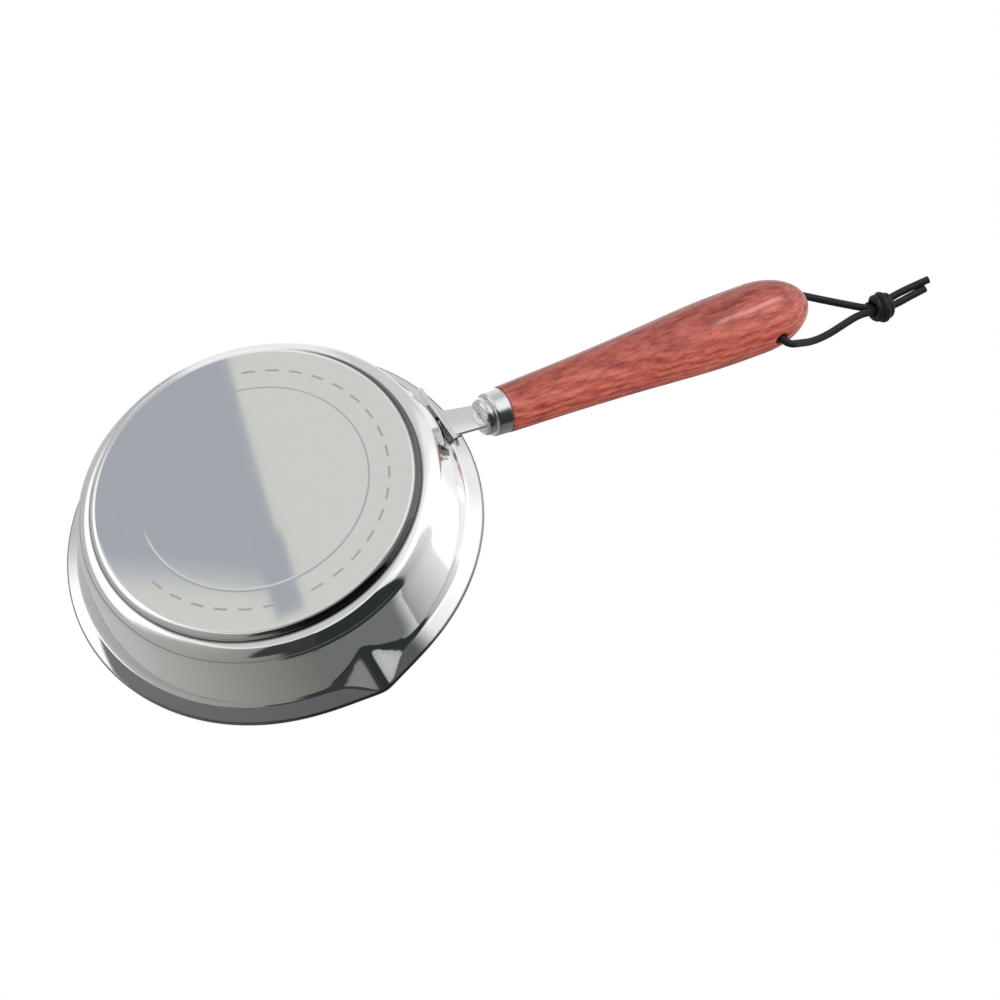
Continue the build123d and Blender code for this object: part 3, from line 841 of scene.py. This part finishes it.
def upward_card(name, height, along, across, middle, fades, strength):
    """Flat strip that shines upwards only, bounded in millimetres; its middle slants from one y to the other."""
    u, v = np.meshgrid(np.linspace(*along, 40), np.linspace(*across[::-1], 12))
    points = np.stack([MM * u, MM * (v + np.interp(u, along, middle)), np.full_like(u, height)], -1)
    lit_card(name, points, u, v, along, across, fades, (1, 1, 1), strength=strength, upper_side=True)


def lit_card(name, points, u, v, around, upward, fades, start, end=None, strength=1.0, upper_side=False):
    """Glowing card that only reflections see: the start colour, or from start to end along u, faded at its sides."""
    index = np.arange(points.shape[0] * points.shape[1]).reshape(points.shape[:2])
    quads = np.stack([index[:-1, :-1], index[1:, :-1], index[1:, 1:], index[:-1, 1:]], -1).reshape(-1, 4)
    mesh = bpy.data.meshes.new(name)
    mesh.from_pydata(points.reshape(-1, 3).tolist(), [], quads.tolist())
    corner = np.stack([u, v], -1).reshape(-1, 2)[quads.reshape(-1)]
    mesh.uv_layers.new(name="degrees").data.foreach_set("uv", corner.reshape(-1).astype(np.float32))
    material = bpy.data.materials.new(name)
    material.use_nodes = True
    tree = material.node_tree
    tree.nodes.clear()
    place = add_node(tree, "ShaderNodeUVMap", uv_map="degrees").outputs["UV"]
    apart = add_node(tree, "ShaderNodeSeparateXYZ", {"Vector": place}).outputs
    sides = [
        ramp_between(tree, apart[socket], edge, edge + inward)
        for socket, bounds, (first, last) in (("X", around, fades[:2]), ("Y", upward, fades[2:]))
        for edge, inward in ((bounds[0], first), (bounds[1], -last))
    ]
    cover = sides[0]
    for side in sides[1:]:
        cover = math_node(tree, "MULTIPLY", cover, side)
    if upper_side:
        behind = add_node(tree, "ShaderNodeNewGeometry").outputs["Backfacing"]
        cover = math_node(tree, "MULTIPLY", cover, math_node(tree, "SUBTRACT", 1, behind))
    colour = (*start, 1)
    if end:
        inputs = {"Value": apart["X"], "From Min": around[0], "From Max": around[1]}
        share = add_node(tree, "ShaderNodeMapRange", inputs)
        colour = mix_colours(tree, share.outputs["Result"], colour, (*end, 1))
    glow = add_node(tree, "ShaderNodeEmission", {"Color": colour, "Strength": strength}).outputs["Emission"]
    add_node(tree, "ShaderNodeOutputMaterial", {"Surface": partly_clear(tree, cover, glow)})
    mesh.materials.append(material)
    card = bpy.data.objects.new(name, mesh)
    bpy.context.scene.collection.objects.link(card)
    card.visible_camera = False
    card.visible_diffuse = False
    card.visible_shadow = False
    card.visible_volume_scatter = False


def make_cards():
    """Grey, black and bright cards round the pan, from the farthest to the nearest.

    Each studio card gives its reach, azimuths, elevations, the widths of its four faded sides and its colours.
    The last two cards lie flat near the pan.
    """
    white = (1, 1, 1)
    studio_card("bright_card_behind", 2.9, (-20, 46), (-60, 60), (12, 8, 8, 8), white, strength=1.25)
    studio_card("grey_card_by_spout", 2.89, (20, 52), (-40, 62), (3, 1, 8, 8), (0.95, 0.95, 0.95),
                (0.36, 0.365, 0.37))
    studio_card("bright_card_high", 2.88, (-112, -62), (8, 60), (10, 10, 12, 8), white, strength=1.25)
    studio_card("bright_card_left", 2.86, (-166, -104), (-64, -14), (8, 8, 6, 8), white, strength=1.3)
    studio_card("soft_grey_left", 2.84, (-200, -92), (-26, 60), (20, 10, 12, 10), (0.47, 0.48, 0.49),
                (0.62, 0.62, 0.62))
    studio_card("soft_grey_middle", 2.83, (-104, -82), (-45, 12), (6, 6, 8, 8), (0.55, 0.56, 0.57))
    studio_card("soft_grey_right", 2.82, (-64, -24), (-58, 34), (10, 10, 8, 12), (0.72, 0.72, 0.72))
    studio_card("warm_grey_card", 2.8, (103, 206), (-66, 75), (1.5, 24, 5, 5), (0.18, 0.175, 0.165),
                (0.55, 0.54, 0.52))
    studio_card("grey_card_over_dark", 2.78, (46, 106), (24, 75), (14, 2, 2, 6), (0.18, 0.185, 0.185))
    studio_card("black_card", 2.76, (47, 105), (-63, 27), (4, 1, 2, 2), (0.028, 0.036, 0.036))
    studio_card("black_card_left", 2.75, (100, 123), (-22, 27), (2, 9, 3, 4), (0.04, 0.045, 0.044))
    studio_card("black_card_low", 2.74, (100, 137), (-66, -16), (2, 5, 3, 3), (0.045, 0.05, 0.048))
    studio_card("grey_card_high", 2.73, (-104, -40), (46, 75), (6, 8, 5, 5), (0.22, 0.225, 0.23))
    studio_card("dark_overhead", 2.72, (-180, 180), (60, 89.9), (0.1, 0.1, 6, 0.1), (0.25, 0.255, 0.26))
    studio_card("pale_card_below", 2.71, (-180, 180), (-89.9, -66), (0.1, 0.1, 0.1, 6), (0.68, 0.69, 0.67))
    studio_card("pale_base_card", 2.7, (-112, -62), (-68, -46), (8, 8, 5, 5), (0.74, 0.75, 0.71))
    studio_card("blue_grey_base_card", 2.68, (-104, -82.87), (-59.5, -46), (6, 0.1, 1.4, 5), (0.44, 0.48, 0.52),
                lean=0.252, lift=0.35)
    studio_card("blue_grey_corner_card", 2.67, (-84.2, -82.6), (-59.35, -57), (0.1, 0.1, 0.15, 0.5),
                (0.43, 0.47, 0.51), lean=0.252)
    upward_card("grip_highlight_card", 0.008, (186, 350), (-11, 11), (16, -8), (12, 60, 5, 5), 8)
    ring_card("dark_card_under_lip", 0.008, (62, 246), (66.5, 84), (10, 60, 1, 2), (0.1, 0.103, 0.105),
              (0.24, 0.245, 0.25))


def area_lamp(name, place, aim, size, power):
    """Square lamp aimed at a point, left out of reflections."""
    data = bpy.data.lights.new(name, "AREA")
    data.shape = "SQUARE"
    data.size = size
    data.energy = power
    lamp = bpy.data.objects.new(name, data)
    lamp.location = place
    lamp.visible_glossy = False
    lamp.rotation_mode = "QUATERNION"
    lamp.rotation_quaternion = (Vector(aim) - Vector(place)).to_track_quat("-Z", "Y")
    bpy.context.scene.collection.objects.link(lamp)


make_camera()
lanyard(braided_cord())
pan_shell(pan_body_steel())
base_cap(dashed_cap_steel())
handle_strip(steel("strip_steel", (0.78, 0.78, 0.78), 0.14))
ferrule(steel("ferrule_steel", (0.7, 0.7, 0.7), 0.19))
wooden_grip(wood())
dress_node("base_core", steel("core_aluminium", (0.8, 0.8, 0.82), 0.35))
dress_node("bracket_welds", steel("weld_bead_steel", (0.45, 0.43, 0.4), 0.4))
dress_node("tang_adhesive", plain("cured_adhesive", (0.4, 0.33, 0.2), 0.5))
make_floor()
make_world()
make_cards()
area_lamp("high_soft_lamp", (-0.5, -0.7, 1.1), (0.05, 0, 0), 0.8, 9)
area_lamp("low_soft_lamp", (0.5, 0.9, -0.5), (0.08, 0, 0.03), 0.7, 7)
bpy.context.scene.view_settings.view_transform = "Standard"
